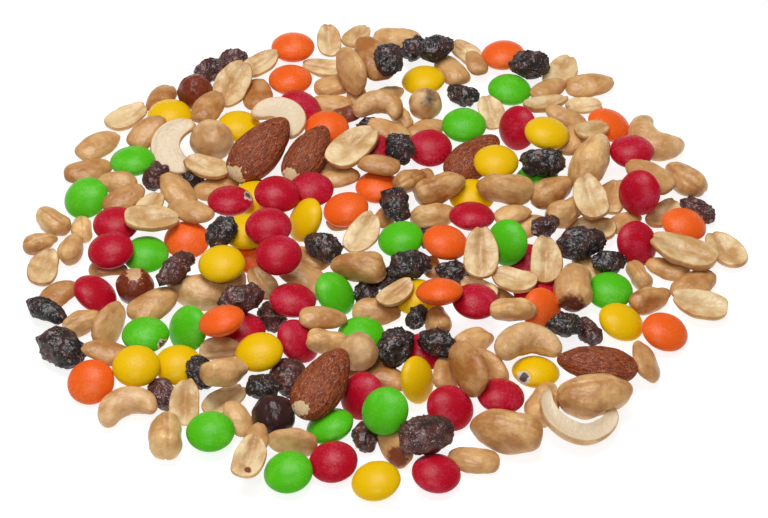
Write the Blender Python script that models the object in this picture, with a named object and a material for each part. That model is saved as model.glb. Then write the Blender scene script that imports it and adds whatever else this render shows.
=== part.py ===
# A loose heap of trail mix lying on a table, one to three pieces deep: sugar-shelled chocolate
# lentils, raisins, almonds, cashews, hazelnuts and roasted peanuts.
# The heap is laid out in millimetres and its mesh is made in metres. It stands on z = 0.

import math
from collections import namedtuple

import bmesh
import bpy
import numpy as np
from mathutils import Matrix, Vector

MM = 0.001

# The heap is seen from the front, looking down on it. A place is given as that view shows it,
# in view units to the right and down, and one unit is 0.294 mm at the heap's middle.
VIEW_ELEVATION = math.radians(43)
VIEW_DISTANCE = 1000.0
VIEW_UNIT = 0.294
VIEW_MIDDLE = (384, 259)

# Real sizes in mm: length, width, height of one piece lying flat
CANDY = (13.6, 13.6, 7.1)
RAISIN = (12.0, 8.4, 6.5)
THIN_RAISIN = (15.0, 7.4, 5.6)
ALMOND = (24.0, 13.0, 8.5)
CASHEW = (22.0, 10.4, 9.0)
CASHEW_HALF = (22.0, 9.0, 4.5)
THIN_CASHEW_HALF = (24.0, 7.6, 4.2)
HAZELNUT = (12.0, 11.5, 11.0)
PEANUT = (16.0, 9.8, 9.2)
PEANUT_HALF = (15.0, 9.5, 5.2)

# A cashew bends round its hollow side: the angle between the middles of its two rounded ends
# and from tip to tip, how much thinner its ends are, and where its middle lies, in radii of
# the bend
CASHEW_ARC = 150.0
CASHEW_TIPS = 212.0
CASHEW_TAPER = 0.2
CASHEW_MIDDLE = 0.62

# Candies: right, down, layer from the table up, heading of the long way in degrees,
# and how round the lentil looks in the view
RED_CANDIES = [
    (231, 200, 2, 178, .70), (116, 222, 0, 0, .80), (111, 248, 1, 10, .82), (268, 226, 2, 0, .85),
    (95, 294, 0, 145, .72), (281, 195, 2, 170, .83), (312, 188, 1, 0, .80), (473, 216, 2, 178, .66),
    (278, 253, 3, 0, .88), (291, 301, 2, 175, .75), (480, 311, 2, 175, .78), (518, 128, 0, 90, .85),
    (430, 152, 2, 0, .87), (632, 150, 1, 0, .78), (640, 191, 2, 90, .90), (526, 262, 0, 0, .80),
    (637, 244, 0, 107, .90), (536, 288, 0, 0, .80), (301, 107, 0, 150, .80), (373, 149, 0, 0, .80),
    (242, 331, 0, 0, .80), (298, 341, 1, 130, .80), (424, 352, 0, 0, .80), (362, 396, 0, 75, .90),
    (450, 408, 0, 145, .92), (501, 394, 0, 171, .74), (333, 462, 0, 10, .85), (437, 471, 0, 170, .80),
]
GREEN_CANDIES = [
    (133, 158, 0, 5, .72), (93, 201, 1, 30, .90), (145, 253, 0, 0, .82), (146, 332, 0, 0, .78),
    (188, 329, 0, 80, .85), (401, 238, 3, 12, .80), (508, 242, 1, 90, .88), (337, 294, 3, 122, .78),
    (461, 125, 1, 0, .82), (510, 90, 0, 174, .76), (537, 181, 0, 0, .80), (609, 289, 0, 0, .82),
    (361, 335, 1, 0, .80), (386, 411, 1, 55, .94), (330, 426, 0, 20, .70), (284, 470, 0, 10, .85),
    (212, 429, 0, 3, .83),
]
YELLOW_CANDIES = [
    (176, 114, 0, 0, .78), (235, 126, 0, 170, .75), (254, 196, 0, 0, .80), (246, 232, 1, 0, .80),
    (222, 259, 2, 5, .82), (306, 218, 1, 68, .72), (472, 196, 0, 0, .80), (416, 297, 0, 0, .80),
    (495, 161, 2, 0, .80), (548, 133, 1, 170, .77), (621, 322, 0, 154, .78), (417, 79, 2, 8, .72),
    (136, 365, 1, 0, .88), (178, 364, 0, 0, .85), (260, 352, 2, 10, .83), (420, 380, 1, 95, .72),
    (376, 481, 0, 14, .80), (536, 372, 0, 175, .68),
]
ORANGE_CANDIES = [
    (187, 240, 1, 0, .85), (254, 256, 0, 0, .80), (220, 320, 1, 17, .66), (344, 204, 2, 15, .78),
    (378, 187, 0, 0, .75), (446, 245, 3, 165, .78), (441, 292, 3, 3, .60), (609, 125, 0, 155, .75),
    (683, 223, 1, 165, .76), (541, 309, 0, 100, .85), (665, 332, 0, 160, .81), (503, 55, 0, 5, .74),
    (293, 47, 0, 0, .75), (290, 80, 1, 0, .74), (326, 127, 0, 0, .80), (91, 382, 0, 16, .93),
]

# Other pieces: right, down, layer, heading in degrees, length in mm, and for a piece that
# leans on others the heading it faces and its lean in degrees
RAISINS = [
    (211, 70, 0, 20, 11.5), (233, 58, 0, 10, 9), (153, 176, 1, 60, 10), (190, 181, 0, 20, 9),
    (252, 184, 0, 0, 7), (223, 232, 2, 50, 11.5), (241, 293, 2, 20, 13.5), (265, 316, 1, 110, 11),
    (396, 201, 1, 110, 13), (324, 243, 3, 150, 12.5), (428, 235, 0, 0, 10), (409, 269, 1, 20, 14),
    (456, 273, 1, 165, 12), (366, 294, 2, 75, 9.5), (417, 314, 2, 60, 8.5), (463, 95, 0, 160, 10.5),
    (543, 162, 2, 5, 14), (546, 223, 3, 30, 9.5), (583, 246, 2, 10, 15.5), (610, 260, 1, 20, 11),
    (564, 322, 2, 0, 11), (590, 326, 1, 120, 10.5), (527, 69, 1, 20, 14), (388, 58, 2, 90, 13),
    (413, 47, 1, 60, 10), (434, 47, 2, 30, 12.5), (370, 126, 0, 0, 9), (398, 148, 1, 100, 12.5),
    (62, 347, 0, 150, 16.5), (200, 372, 0, 120, 11), (163, 390, 0, 120, 11.5), (256, 385, 1, 0, 10.5),
    (288, 374, 1, 110, 14.5), (396, 346, 2, 60, 14), (437, 342, 1, 160, 12), (424, 434, 1, 20, 17),
    (359, 436, 0, 90, 10.5), (389, 279, 0, 0, 10),
]
THIN_RAISINS = [(176, 268, 1, 52, 16), (47, 309, 0, 155, 13.5), (698, 210, 0, 145, 13)]
ALMONDS = [
    (257, 150, 4, 43, 26, 270, 18), (308, 153, 3, 52, 22.5), (474, 158, 0, 43, 24),
    (320, 383, 2, 52, 25, 270, 14), (594, 360, 1, 176, 23),
]
CASHEWS = [
    (207, 286, 0, 8, 25), (380, 106, 2, 170, 17), (651, 137, 0, 322, 20.5), (129, 405, 0, 190, 18.5),
    (525, 343, 1, 188, 21),
]
CASHEW_HALVES = [(176, 146, 2, 268, 20, 270, 20), (282, 115, 1, 150, 19)]
THIN_CASHEW_HALVES = [(576, 419, 1, 352, 25)]
HAZELNUTS = [
    (195, 92, 0, 90, 11.5), (135, 287, 0, 80, 11.4), (274, 416, 0, 150, 12.6), (427, 111, 2, 90, 10.8),
    (359, 352, 2, 90, 11.5), (213, 138, 1, 0, 13.5),
]
PEANUTS = [
    (53, 221, 0, 145, 12), (82, 229, 0, 100, 10), (40, 243, 0, 10, 10), (72, 248, 1, 70, 11),
    (81, 323, 0, 20, 11.5), (407, 180, 1, 30, 11), (440, 188, 1, 15, 15), (433, 217, 0, 10, 13.5),
    (505, 187, 2, 175, 16), (361, 268, 3, 170, 15.5), (435, 322, 2, 95, 12), (592, 160, 1, 60, 18.5),
    (551, 190, 1, 30, 14), (565, 209, 1, 30, 13), (685, 179, 1, 140, 15), (572, 286, 1, 80, 18),
    (639, 276, 1, 120, 10), (649, 300, 0, 20, 12.5), (514, 308, 1, 0, 12.5), (385, 90, 1, 20, 12),
    (222, 371, 1, 10, 13), (166, 435, 0, 95, 15.5), (326, 340, 2, 0, 12), (472, 343, 1, 20, 13),
    (507, 431, 0, 170, 19.5), (596, 391, 1, 5, 20), (543, 402, 0, 60, 14.5), (364, 62, 0, 60, 13),
    (403, 119, 1, 130, 10),
]
OPEN_PEANUT_HALVES = [
    (127, 116, 0, 32, 14.5), (233, 89, 1, 55, 17, 270, 20), (207, 166, 2, 160, 14.5),
    (147, 203, 1, 60, 12), (152, 217, 2, 5, 16), (44, 267, 0, 80, 14.5), (262, 281, 1, 130, 12),
    (361, 231, 2, 52, 14.5, 270, 15), (482, 251, 3, 88, 16, 270, 22), (397, 292, 3, 30, 12),
    (482, 288, 1, 150, 12), (515, 279, 1, 160, 14), (492, 111, 1, 110, 12.5, 270, 15),
    (591, 130, 2, 25, 11.5), (589, 196, 2, 110, 15.5, 270, 15), (618, 194, 1, 70, 14.5),
    (545, 260, 3, 85, 15, 270, 20), (592, 228, 0, 170, 15), (664, 213, 0, 45, 13),
    (683, 251, 1, 162, 20), (726, 249, 0, 130, 15.5), (700, 302, 0, 170, 16),
    (329, 40, 1, 95, 12, 270, 15), (356, 36, 1, 40, 11), (324, 68, 1, 170, 13.5),
    (466, 52, 0, 140, 12.5), (353, 146, 2, 35, 18.5), (561, 71, 0, 55, 15), (578, 105, 1, 0, 11.5),
    (220, 346, 0, 0, 12.5), (187, 399, 0, 88, 13.5, 270, 25), (224, 396, 0, 35, 14),
    (249, 455, 0, 68, 14), (262, 62, 1, 20, 13), (545, 101, 0, 28, 15, 90, 20),
]
TURNED_PEANUT_HALVES = [
    (208, 105, 0, 55, 14), (162, 99, 0, 60, 13), (98, 146, 0, 32, 15), (88, 171, 0, 12, 14.5),
    (148, 131, 0, 40, 14), (217, 186, 0, 20, 14), (118, 182, 0, 170, 12.5), (124, 198, 0, 30, 14),
    (177, 191, 1, 135, 15), (191, 212, 2, 160, 14.5), (108, 268, 0, 0, 11), (151, 303, 0, 32, 16),
    (62, 295, 0, 40, 13.5), (109, 324, 0, 62, 15, 330, 55), (341, 177, 1, 15, 12),
    (378, 163, 2, 175, 12.5), (424, 183, 0, 90, 12), (343, 222, 0, 20, 10), (386, 216, 0, 60, 10),
    (311, 255, 1, 150, 12), (302, 273, 2, 160, 16), (433, 267, 1, 100, 9), (374, 314, 2, 0, 13.5),
    (321, 317, 3, 5, 14), (650, 174, 1, 150, 16), (512, 211, 2, 15, 11.5), (624, 223, 0, 25, 11),
    (668, 268, 0, 165, 13), (693, 284, 0, 30, 15), (587, 269, 0, 120, 13), (589, 85, 1, 10, 15.5),
    (565, 117, 0, 160, 13), (572, 138, 0, 60, 13), (258, 95, 0, 85, 14), (354, 68, 2, 115, 17, 210, 65),
    (373, 58, 1, 120, 18), (398, 39, 0, 170, 15), (335, 85, 0, 12, 13.5), (332, 104, 0, 170, 13),
    (454, 69, 1, 130, 14.5), (426, 130, 0, 20, 13), (345, 117, 1, 20, 10), (388, 131, 0, 160, 14),
    (330, 172, 0, 100, 14), (107, 351, 0, 175, 14), (241, 417, 0, 130, 12), (256, 437, 0, 70, 11),
    (388, 377, 1, 170, 11.5), (445, 371, 0, 78, 14, 348, 35), (466, 371, 1, 118, 18, 208, 55),
    (487, 369, 0, 138, 15, 228, 60), (474, 460, 0, 170, 14.5), (392, 446, 0, 130, 13.5, 220, 45),
    (288, 443, 0, 173, 14, 263, 75), (645, 362, 0, 98, 15, 8, 40), (370, 368, 0, 30, 15),
    (531, 227, 1, 20, 14), (498, 296, 0, 150, 13), (476, 62, 0, 120, 10), (548, 88, 0, 25, 12),
    (356, 95, 0, 100, 10),
]

# How the pieces settle, in mm
FLOOR = 0.3
CONTACT = 0.3
START_HEIGHTS = (3.0, 6.0, 9.0, 13.0)
TIP_STRIDE = 9.0
CELL = 0.8
FIELD = 135.0
SHIFT_COST = 0.7
TIP_COST = 0.0025
LEAST_GAIN = 0.01

# Forms of single pieces: how much narrower and thinner an almond is at its point, and how high
# the flat face of a peanut half lies, as a share of its height
ALMOND_NARROWS = 0.22
ALMOND_THINS = 0.15
FACE_HEIGHT = 0.15

# The core that joins the pieces, in mm: how far it stays under the heap's top, its least
# height, and how far out its last ring lies, as a share of the way to the rim
CORE_DEPTH = 4.5
CORE_LOW = 2.4
CORE_EDGE = 0.98
CORE_SIDES = 40
CORE_RINGS = 9
SECTOR_WIDTH = 0.6
AVERAGING_ROUNDS = 60

# The lowest that a piece's own corners reach, inside the core
PIECE_BASE = 0.3

# The joined heap: its shortest edge in mm, and how many triangles it keeps
LEAST_EDGE = 0.01
TRIANGLES = 10800

NUT_COLOUR = (0.52, 0.30, 0.13, 1)
NUT_ROUGHNESS = 0.5
SHARP_ANGLE = math.radians(40)

UP = np.array([0, 0, 1.0])
ALONG = np.array([1.0, 0, 0])
VIEW_BACK = np.array([0, -math.cos(VIEW_ELEVATION), math.sin(VIEW_ELEVATION)])
VIEW_UP = np.array([0, math.sin(VIEW_ELEVATION), math.cos(VIEW_ELEVATION)])
VIEW_RIGHT = np.array([1.0, 0, 0])
EYE = VIEW_BACK * VIEW_DISTANCE

Piece = namedtuple("Piece", "kind size balls right down layer base lean free")
Laid = namedtuple("Laid", "piece turn place")


def place_on_table(right, down, height):
    """Where a place in the view lies, for a piece whose middle is at this height."""
    across = VIEW_RIGHT * (right - VIEW_MIDDLE[0]) * VIEW_UNIT
    rise = VIEW_UP * (VIEW_MIDDLE[1] - down) * VIEW_UNIT
    ray = across + rise - EYE
    return (EYE + ray * (height - EYE[2]) / ray[2])[:2]


def rotation(axis, angle):
    return np.array(Matrix.Rotation(angle, 3, Vector(axis)))


def tipped(tip):
    """A lean towards a heading, from its two parts in degrees."""
    lean = math.hypot(*tip)
    if lean < 1e-6:
        return np.eye(3)
    return rotation((-tip[1], tip[0], 0), math.radians(lean))


def turned(heading):
    """A turn on the table that shows as this heading in the view."""
    angle = math.radians(heading)
    return rotation(UP, math.atan2(math.sin(angle) / math.sin(VIEW_ELEVATION), math.cos(angle)))


def lentil_lean(heading, roundness):
    """The turn of a lentil that shows as an oval of this heading and roundness."""
    thin = CANDY[2] / CANDY[0]
    away = math.sqrt((1 - roundness ** 2) / (1 - thin ** 2))
    facing = math.sqrt(1 - away ** 2)
    angle = math.radians(heading % 180 + 90)
    if math.sin(angle) < 0:
        angle += math.pi
    normal = facing * VIEW_BACK + away * (math.cos(angle) * VIEW_RIGHT + math.sin(angle) * VIEW_UP)
    return np.array(Vector(UP).rotation_difference(Vector(normal)).to_matrix())


def whole(size):
    """One ellipsoid that stands for a piece while it settles: centre and half sizes."""
    return [(np.zeros(3), np.array(size) / 2)]


def cashew_ring(size):
    """Radius of the arc that the middle of a cashew follows."""
    return size[0] / 2 - size[1] / 2 * (1 - CASHEW_TAPER)


def bent(size):
    """Five balls along an arc, as a cashew curves."""
    ring = cashew_ring(size)
    balls = []
    for step in range(-2, 3):
        angle = math.radians(-90 + step * CASHEW_ARC / 4)
        thick = 1 - CASHEW_TAPER * abs(step) / 2
        centre = np.array([ring * math.cos(angle), ring * (math.sin(angle) + CASHEW_MIDDLE), 0])
        balls.append((centre, np.array([size[1], size[1], size[2]]) / 2 * thick))
    return balls


def ball_faces(ball, turn, x, y):
    """Cells under one ball, and its lower and upper face there above the piece's middle."""
    centre, half = ball
    offset = turn @ centre
    reach = np.sqrt(np.diag(turn @ np.diag(half ** 2) @ turn.T))
    form = turn @ np.diag(half ** -2.0) @ turn.T
    low_x, low_y = x + offset[0] - reach[0] + FIELD, y + offset[1] - reach[1] + FIELD
    rows = np.arange(int(low_x / CELL), int((low_x + 2 * reach[0]) / CELL) + 1)
    columns = np.arange(int(low_y / CELL), int((low_y + 2 * reach[1]) / CELL) + 1)
    dx, dy = np.meshgrid((rows + 0.5) * CELL - FIELD - x - offset[0],
                         (columns + 0.5) * CELL - FIELD - y - offset[1], indexing="ij")
    slope = form[0, 2] * dx + form[1, 2] * dy
    rest = form[0, 0] * dx * dx + 2 * form[0, 1] * dx * dy + form[1, 1] * dy * dy - 1
    inside = slope ** 2 - form[2, 2] * rest
    root = np.sqrt(np.maximum(inside, 0))
    lower = np.where(inside > 0, (-slope - root) / form[2, 2] + offset[2], np.inf)
    upper = np.where(inside > 0, (-slope + root) / form[2, 2] + offset[2], -np.inf)
    return slice(rows[0], rows[-1] + 1), slice(columns[0], columns[-1] + 1), lower, upper


def resting_height(ground, balls, turn, x, y):
    heights = []
    for ball in balls:
        rows, columns, lower, _ = ball_faces(ball, turn, x, y)
        heights.append((ground[rows, columns] - lower).max())
    return max(heights)


def settle(ground, piece):
    """Drop one piece: it slides and tips a little until it lies low and true to its place in
    the view, and then raises the ground for the next ones."""

    def lie(state):
        x, y, tip_x, tip_y = state
        turn = tipped((piece.lean[0] + tip_x, piece.lean[1] + tip_y)) @ piece.base
        z = resting_height(ground, piece.balls, turn, x, y) - CONTACT
        return turn, np.array([x, y, z])

    def cost(state):
        place = lie(state)[1]
        off = place[:2] - place_on_table(piece.right, piece.down, place[2])
        shift = off[0] ** 2 + (off[1] * math.sin(VIEW_ELEVATION)) ** 2
        return place[2] + SHIFT_COST * shift + TIP_COST * (state[2] ** 2 + state[3] ** 2)

    def slide_down(height):
        state = [*place_on_table(piece.right, piece.down, height), 0.0, 0.0]
        least = cost(state)
        for step in (1.0, 0.5, 0.25):
            moved = True
            while moved:
                moved = False
                for part, stride in enumerate((step, step, step * TIP_STRIDE, step * TIP_STRIDE)):
                    for sign in (1, -1) if piece.free or part < 2 else ():
                        trial = list(state)
                        trial[part] += sign * stride
                        found = cost(trial)
                        if found < least - LEAST_GAIN:
                            state, least, moved = trial, found, True
        return least, state

    best = min(slide_down(height) for height in START_HEIGHTS)[1]
    turn, place = lie(best)
    for ball in piece.balls:
        rows, columns, _, upper = ball_faces(ball, turn, place[0], place[1])
        ground[rows, columns] = np.maximum(ground[rows, columns], upper + place[2])
    return Laid(piece, turn, place)


def scaled(size, length):
    return tuple(side * length / size[0] for side in size)


def candies(kind, rows):
    """Lentils keep the lean that the view shows, because their oval gives it away."""
    pieces = []
    for right, down, layer, heading, roundness in rows:
        leaning = lentil_lean(heading, roundness)
        pieces.append(Piece(kind, CANDY, whole(CANDY), right, down, layer, leaning, (0, 0), False))
    return pieces


def loose(kind, rows, real_size, stand_in):
    """Pieces that tip freely as they settle, unless a row gives them a lean."""
    pieces = []
    for right, down, layer, heading, length, *leaning in rows:
        size = scaled(real_size, length)
        lean = (0, 0)
        if leaning:
            faces, angle = math.radians(leaning[0]), leaning[1]
            lean = (angle * math.cos(faces), angle * math.sin(faces))
        free = not leaning
        pieces.append(Piece(kind, size, stand_in(size), right, down, layer, turned(heading), lean, free))
    return pieces


def waiting_pieces():
    """Every piece of the heap, in the order in which they drop."""
    pieces = candies("candy", RED_CANDIES + GREEN_CANDIES + YELLOW_CANDIES + ORANGE_CANDIES)
    for group in (
            ("raisin", RAISINS, RAISIN, whole), ("raisin", THIN_RAISINS, THIN_RAISIN, whole),
            ("almond", ALMONDS, ALMOND, whole), ("cashew", CASHEWS, CASHEW, bent),
            ("cashew", CASHEW_HALVES, CASHEW_HALF, bent),
            ("cashew", THIN_CASHEW_HALVES, THIN_CASHEW_HALF, bent),
            ("hazelnut", HAZELNUTS, HAZELNUT, whole), ("peanut", PEANUTS, PEANUT, whole),
            ("open half", OPEN_PEANUT_HALVES, PEANUT_HALF, whole),
            ("turned half", TURNED_PEANUT_HALVES, PEANUT_HALF, whole)):
        pieces += loose(*group)
    return sorted(pieces, key=lambda piece: (piece.layer, piece.down))


def settled_heap():
    """The pieces as they lie, and the height of the heap over the table."""
    cells = int(2 * FIELD / CELL)
    ground = np.full((cells, cells), FLOOR)
    return [settle(ground, piece) for piece in waiting_pieces()], ground


def new_object(name, mesh_builder, collection):
    """An object whose mesh is made by bmesh operators, in millimetres until it is placed."""
    built = bmesh.new()
    mesh_builder(built)
    mesh = bpy.data.meshes.new(name)
    built.to_mesh(mesh)
    built.free()
    made = bpy.data.objects.new(name, mesh)
    collection.objects.link(made)
    return made


def few_sided_ball(built, size, segments, rings, pole=UP):
    """An ellipsoid whose poles lie along one of its own axes, with its corners a little outside
    the true form and its faces a little inside."""
    gain = 1 / math.sqrt(math.cos(math.pi / segments) * math.cos(math.pi / 2 / rings))
    bmesh.ops.create_uvsphere(built, u_segments=segments, v_segments=rings, radius=0.5)
    to_pole = Vector(UP).rotation_difference(Vector(pole)).to_matrix()
    for vertex in built.verts:
        on_ball = to_pole @ vertex.co
        vertex.co = Vector(part * side * gain for part, side in zip(on_ball, size))


def make_candy(built, size):
    few_sided_ball(built, size, 8, 4)


def make_raisin(built, size):
    few_sided_ball(built, size, 6, 3, ALONG)


def make_almond(built, size):
    """Pointed at one end and blunt at the other."""
    few_sided_ball(built, size, 8, 6, ALONG)
    for vertex in built.verts:
        along = 2 * vertex.co.x / size[0]
        vertex.co.y *= 1 - ALMOND_NARROWS * along
        vertex.co.z *= 1 - ALMOND_THINS * along


def make_cashew(built, size):
    """A thick ball bent along an arc."""
    few_sided_ball(built, size, 6, 8, ALONG)
    ring = cashew_ring(size)
    for vertex in built.verts:
        along = 2 * vertex.co.x / size[0]
        angle = math.radians(-90 + along * CASHEW_TIPS / 2)
        inward = ring - vertex.co.y
        vertex.co.x = inward * math.cos(angle)
        vertex.co.y = inward * math.sin(angle) + ring * CASHEW_MIDDLE


def make_hazelnut(built, size):
    few_sided_ball(built, size, 8, 4)


def make_peanut(built, size):
    few_sided_ball(built, size, 6, 4, ALONG)


def make_open_half(built, size):
    """Flat on top."""
    few_sided_ball(built, size, 6, 3, ALONG)
    for vertex in built.verts:
        vertex.co.z = min(vertex.co.z, FACE_HEIGHT * size[2])


def make_turned_half(built, size):
    """Flat below."""
    few_sided_ball(built, size, 6, 3, ALONG)
    for vertex in built.verts:
        vertex.co.z = max(vertex.co.z, -FACE_HEIGHT * size[2])


MAKERS = {
    "candy": make_candy, "raisin": make_raisin, "almond": make_almond, "cashew": make_cashew,
    "hazelnut": make_hazelnut, "peanut": make_peanut, "open half": make_open_half,
    "turned half": make_turned_half,
}


def core_reach(places):
    """How far the core goes each way round: to the outermost piece's middle there."""
    sector = 2 * math.pi / CORE_SIDES
    reach = []
    for side in range(CORE_SIDES):
        found = [0.0]
        for x, y, _ in places:
            apart = (math.atan2(y, x) - side * sector + math.pi) % (2 * math.pi) - math.pi
            if abs(apart) < sector * SECTOR_WIDTH:
                found.append(math.hypot(x, y))
        reach.append(max(found))
    return reach


def smooth_ground(ground):
    """The heap's height without the gaps between its pieces, by repeated averaging."""
    level = ground.copy()
    for _ in range(AVERAGING_ROUNDS):
        around = level[2:, 1:-1] + level[:-2, 1:-1] + level[1:-1, 2:] + level[1:-1, :-2]
        level[1:-1, 1:-1] = around / 4
    return level


def make_core(built, reach, level):
    """A low mound, flat below, from the upper half of a sphere laid out to the heap's edge."""
    bmesh.ops.create_uvsphere(built, u_segments=CORE_SIDES, v_segments=2 * CORE_RINGS, radius=1)
    ring_angle = math.pi / 2 / CORE_RINGS
    ring_of = {vertex: round(vertex.co.angle(Vector(UP)) / ring_angle) for vertex in built.verts}
    for vertex, ring in ring_of.items():
        heading = math.atan2(vertex.co.y, vertex.co.x)
        side = round(heading / (2 * math.pi) * CORE_SIDES) % CORE_SIDES
        radius = min(1, ring / (CORE_RINGS - 1) * CORE_EDGE) * reach[side]
        x, y = radius * math.cos(heading), radius * math.sin(heading)
        top = level[int((x + FIELD) / CELL), int((y + FIELD) / CELL)]
        height = max(CORE_LOW, top - CORE_DEPTH) if ring < CORE_RINGS else 0
        vertex.co = (x, y, height)
    below = [vertex for vertex, ring in ring_of.items() if ring > CORE_RINGS]
    bmesh.ops.delete(built, geom=below, context="VERTS")
    rim = [edge for edge in built.edges if edge.is_boundary]
    bmesh.ops.holes_fill(built, edges=rim, sides=0)
    bmesh.ops.recalc_face_normals(built, faces=built.faces)


def cut_other_way(built, patch):
    """Two neighbouring faces may be cut along the same line, which four triangles then share.
    There one of the two faces is cut along its other diagonal."""
    for edge in [edge for edge in built.edges if len(edge.link_faces) > 2]:
        for number in {face[patch] for face in edge.link_faces}:
            pair = [face for face in edge.link_faces if face[patch] == number]
            if len(pair) != 2:
                continue
            along = next(loop for loop in pair[0].loops if loop.edge == edge)
            start, end = along.vert, along.link_loop_next.vert
            left = along.link_loop_prev.vert
            right = next(vertex for vertex in pair[1].verts if vertex not in edge.verts)
            if built.edges.get((left, right)):
                continue
            built.faces.new((start, right, left), pair[0])
            built.faces.new((right, end, left), pair[0])
            for face in pair:
                built.faces.remove(face)
            break


def cut_into_triangles(built):
    bmesh.ops.remove_doubles(built, verts=built.verts, dist=LEAST_EDGE)
    patch = built.faces.layers.int.new("patch")
    for number, face in enumerate(built.faces):
        face[patch] = number
    bmesh.ops.triangulate(built, faces=built.faces)
    cut_other_way(built, patch)
    built.faces.layers.int.remove(patch)


def keep_largest_body(mesh):
    """Leaves out loose scraps and the walls of sealed hollows."""
    built = bmesh.new()
    built.from_mesh(mesh)
    cut_into_triangles(built)
    unseen = set(built.verts)
    bodies = []
    while unseen:
        body = {unseen.pop()}
        edge_of_body = list(body)
        while edge_of_body:
            vertex = edge_of_body.pop()
            for edge in vertex.link_edges:
                other = edge.other_vert(vertex)
                if other not in body:
                    body.add(other)
                    edge_of_body.append(other)
        unseen -= body
        bodies.append(body)
    bodies.sort(key=len)
    for body in bodies[:-1]:
        bmesh.ops.delete(built, geom=list(body), context="VERTS")
    built.to_mesh(mesh)
    built.free()


def thin_out(heap):
    """Merges the slivers that the union leaves, down to a plain number of triangles."""
    thinner = heap.modifiers.new("thin out", "DECIMATE")
    thinner.ratio = TRIANGLES / len(heap.data.polygons)
    thinner.use_collapse_triangulate = True


def make_material():
    material = bpy.data.materials.new("roasted nuts and candy")
    material.use_nodes = True
    surface = material.node_tree.nodes["Principled BSDF"]
    surface.inputs["Base Color"].default_value = NUT_COLOUR
    surface.inputs["Roughness"].default_value = NUT_ROUGHNESS
    surface.inputs["Metallic"].default_value = 0
    return material


def make_loose_pieces(heap, collection):
    """One object for each piece, where it lies, with nothing lower than the core's own foot."""
    for number, laid in enumerate(heap):
        maker, size = MAKERS[laid.piece.kind], laid.piece.size
        made = new_object(f"piece_{number}", lambda built: maker(built, size), collection)
        made.data.transform(Matrix.Translation(laid.place) @ Matrix(laid.turn).to_4x4())
        for vertex in made.data.vertices:
            vertex.co.z = max(vertex.co.z, PIECE_BASE)


def join(core, collection):
    """The core and the collection's objects as one body on the core, and the objects removed."""
    union = core.modifiers.new("join", "BOOLEAN")
    union.operation = "UNION"
    union.operand_type = "COLLECTION"
    union.collection = collection
    union.solver = "EXACT"
    in_place = core.evaluated_get(bpy.context.evaluated_depsgraph_get())
    joined = bpy.data.meshes.new_from_object(in_place)
    core.modifiers.clear()
    core.data = joined
    for piece in list(collection.objects):
        bpy.data.objects.remove(piece)
    bpy.data.collections.remove(collection)


def make_heap():
    finished = bpy.data.collections.new("heap of trail mix")
    to_join = bpy.data.collections.new("pieces to join")
    bpy.context.scene.collection.children.link(finished)
    bpy.context.scene.collection.children.link(to_join)

    heap, ground = settled_heap()
    make_loose_pieces(heap, to_join)
    reach = core_reach([laid.place for laid in heap])
    level = smooth_ground(ground)
    trail_mix = new_object("trail_mix", lambda built: make_core(built, reach, level), finished)
    join(trail_mix, to_join)
    keep_largest_body(trail_mix.data)
    thin_out(trail_mix)
    trail_mix.data.transform(Matrix.Scale(MM, 4))
    trail_mix.data.shade_smooth()
    trail_mix.data.set_sharp_from_angle(angle=SHARP_ANGLE)
    trail_mix.data.materials.clear()
    trail_mix.data.materials.append(make_material())


for old in list(bpy.data.objects):
    bpy.data.objects.remove(old)
make_heap()
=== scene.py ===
import math
from collections import namedtuple
from random import Random

import bmesh
import bpy
import numpy as np
from mathutils import Matrix, Vector, noise


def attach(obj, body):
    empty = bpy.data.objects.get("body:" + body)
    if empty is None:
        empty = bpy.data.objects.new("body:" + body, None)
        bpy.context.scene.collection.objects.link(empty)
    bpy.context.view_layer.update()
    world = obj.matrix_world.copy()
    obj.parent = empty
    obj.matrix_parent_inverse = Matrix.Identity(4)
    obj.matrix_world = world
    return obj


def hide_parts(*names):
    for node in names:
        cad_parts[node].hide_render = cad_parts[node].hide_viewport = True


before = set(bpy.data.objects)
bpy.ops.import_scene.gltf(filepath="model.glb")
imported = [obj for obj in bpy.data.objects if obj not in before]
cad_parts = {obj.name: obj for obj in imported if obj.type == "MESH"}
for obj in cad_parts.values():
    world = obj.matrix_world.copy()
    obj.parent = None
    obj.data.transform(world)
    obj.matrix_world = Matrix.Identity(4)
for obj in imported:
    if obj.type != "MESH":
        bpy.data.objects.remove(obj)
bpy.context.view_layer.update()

# The view of the heap: from the front and 43 degrees above the table, through a long lens about
# a metre away. Lengths are in millimetres until a mesh is made. One unit of the view is a pixel
# of the 768 by 518 image, and it covers 0.294 mm at the heap's middle.
MM = 0.001
VIEW_ELEVATION = math.radians(43)
VIEW_DISTANCE = 1000.0
VIEW_UNIT = 0.294
VIEW_MIDDLE = (384, 259)
VIEW_WIDTH = 768
FILM_WIDTH = 36.0

UP = np.array([0, 0, 1.0])
VIEW_BACK = np.array([0, -math.cos(VIEW_ELEVATION), math.sin(VIEW_ELEVATION)])
VIEW_UP = np.array([0, math.sin(VIEW_ELEVATION), math.cos(VIEW_ELEVATION)])
VIEW_RIGHT = np.array([1.0, 0, 0])
EYE = VIEW_BACK * VIEW_DISTANCE

camera = bpy.data.objects.new("view", bpy.data.cameras.new("view"))
camera.data.sensor_width = FILM_WIDTH
camera.data.lens = VIEW_DISTANCE / (VIEW_WIDTH * VIEW_UNIT) * FILM_WIDTH
camera.location = Vector(EYE) * MM
camera.rotation_euler = (math.pi / 2 - VIEW_ELEVATION, 0, 0)
bpy.context.scene.collection.objects.link(camera)
bpy.context.scene.camera = camera

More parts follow.
